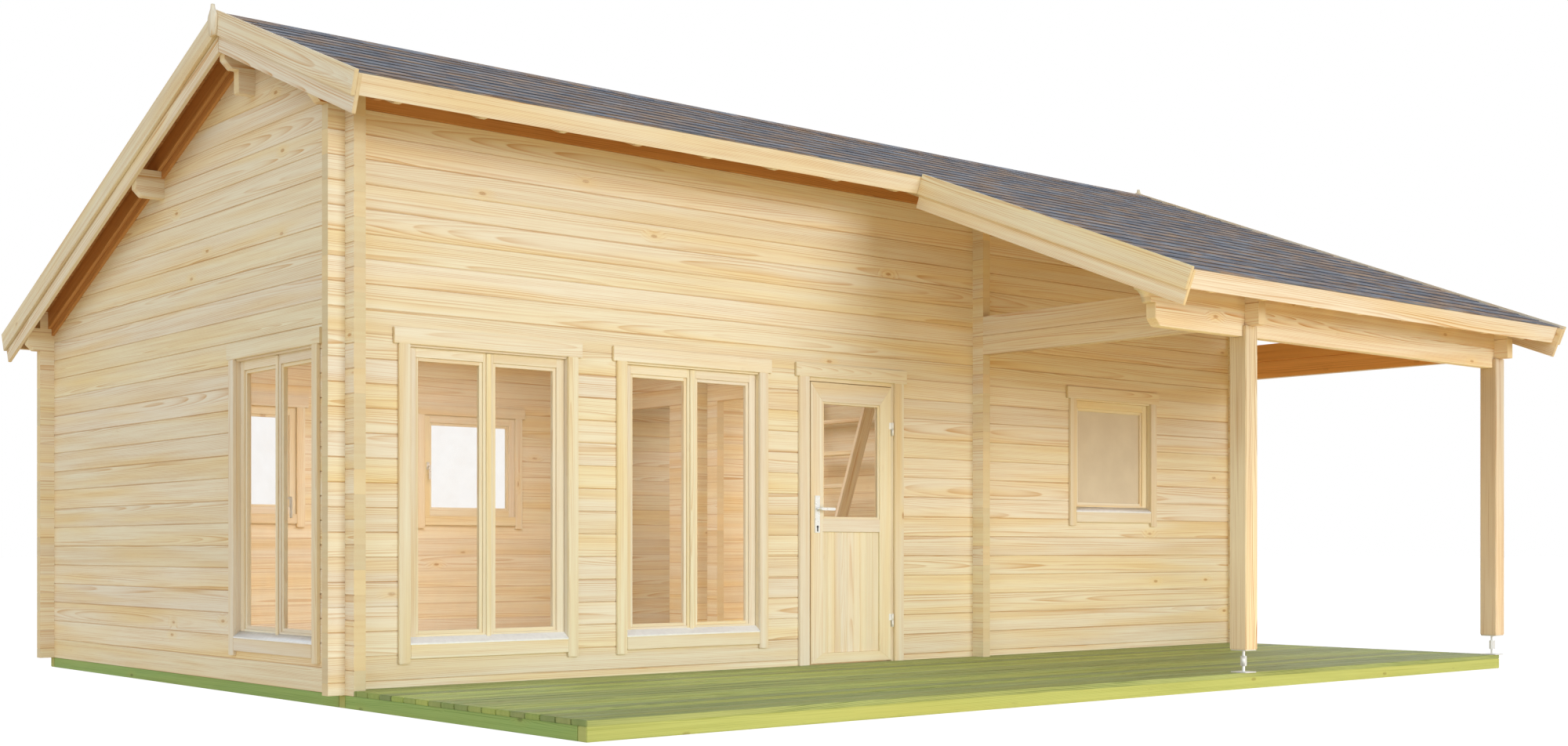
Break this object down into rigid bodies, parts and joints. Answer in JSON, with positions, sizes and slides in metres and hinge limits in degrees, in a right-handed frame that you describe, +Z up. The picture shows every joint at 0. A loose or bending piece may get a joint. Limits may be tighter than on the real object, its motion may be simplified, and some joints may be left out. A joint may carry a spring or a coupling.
{
  "type": "log cabin",
  "caption": "Pine log cabin with interlocking cross-corner log walls, a shingled gable roof running down over a covered terrace, casement windows, a plank deck and a hinged glazed door.",
  "frame": {"origin": "on the ground under the middle of the whole house, with the ridge above y = 0", "axes": "+Z up, -Y towards the front with the door and terrace, +X to the right seen from the front"},
  "size_m": [8.419, 7.7088, 4.0094],
  "materials": {
    "pine_log": "planed, bare",
    "pine_trim": "planed, bare",
    "pine_roof": "planed, bare",
    "pine_floor": "planed, bare",
    "deck_wood": "pressure treated, ribbed",
    "treated_beam": "pressure treated, sawn",
    "shingle": "mineral granules, matt",
    "glass": "clear",
    "sill_metal": "satin",
    "white_metal": "satin white",
    "handle_metal": "satin",
    "zinc_steel": "galvanised"
  },
  "bodies": {
    "cabin": {"cross_wall": "pine_log", "deck_boards": "deck_wood", "door_head_and_threshold": "pine_trim", "door_hinges_frame": "white_metal", "door_jambs": "pine_trim", "eave_boards": "pine_trim", "finials": "pine_trim", "floor": "pine_floor", "front_wall_left": "pine_log", "front_wall_right": "pine_log", "front_wall_upper": "pine_log", "gable_laths": "pine_trim", "gable_wall_left": "pine_log", "gable_wall_right": "pine_log", "ground_cross_beams": "treated_beam", "ground_long_beams": "treated_beam", "inner_gable_boards_front": "pine_trim", "inner_gable_boards_rear": "pine_trim", "ladder_strings": "pine_floor", "ladder_treads": "pine_floor", "mid_purlin": "pine_log", "outer_gable_boards_front": "pine_trim", "outer_gable_boards_rear": "pine_trim", "partition_piers": "pine_log", "partition_upper": "pine_log", "post_feet": "zinc_steel", "posts": "pine_log", "rafters_front": "pine_roof", "rafters_rear": "pine_roof", "rear_wall": "pine_log", "ridge_beam": "pine_log", "roof_boards_front": "pine_roof", "roof_boards_rear": "pine_roof", "roof_boards_terrace": "pine_roof", "shingles_front": "shingle", "shingles_rear": "shingle", "terrace_beam_lower": "pine_log", "terrace_beam_upper": "pine_log", "terrace_side_beams": "pine_log", "trim_bottoms": "pine_trim", "trim_heads": "pine_trim", "trim_sides": "pine_trim", "window_casings": "pine_trim", "window_panes": "glass", "window_sashes": "pine_trim", "window_sills": "sill_metal"},
    "door": {"door_leaf": "pine_trim", "door_panel": "pine_trim", "door_pane": "glass", "door_handle_plates": "handle_metal", "door_hinges_leaf": "white_metal"},
    "lever": {"lever_handle": "handle_metal"}
  },
  "joints": [
    {"name": "door_hinge", "type": "hinge", "parent": "cabin", "child": "door", "pos_m": [0.0915, -1.188, 1], "axis": [0, 0, 1], "range_deg": [0, 100]},
    {"name": "lever_turn", "type": "hinge", "parent": "door", "child": "lever", "pos_m": [-0.5845, -1.1525, 1.122], "axis": [0, 1, 0], "range_deg": [0, 40], "stiffness_Nm_per_rad": 1.5, "springref_deg": -22.92}
  ]
}
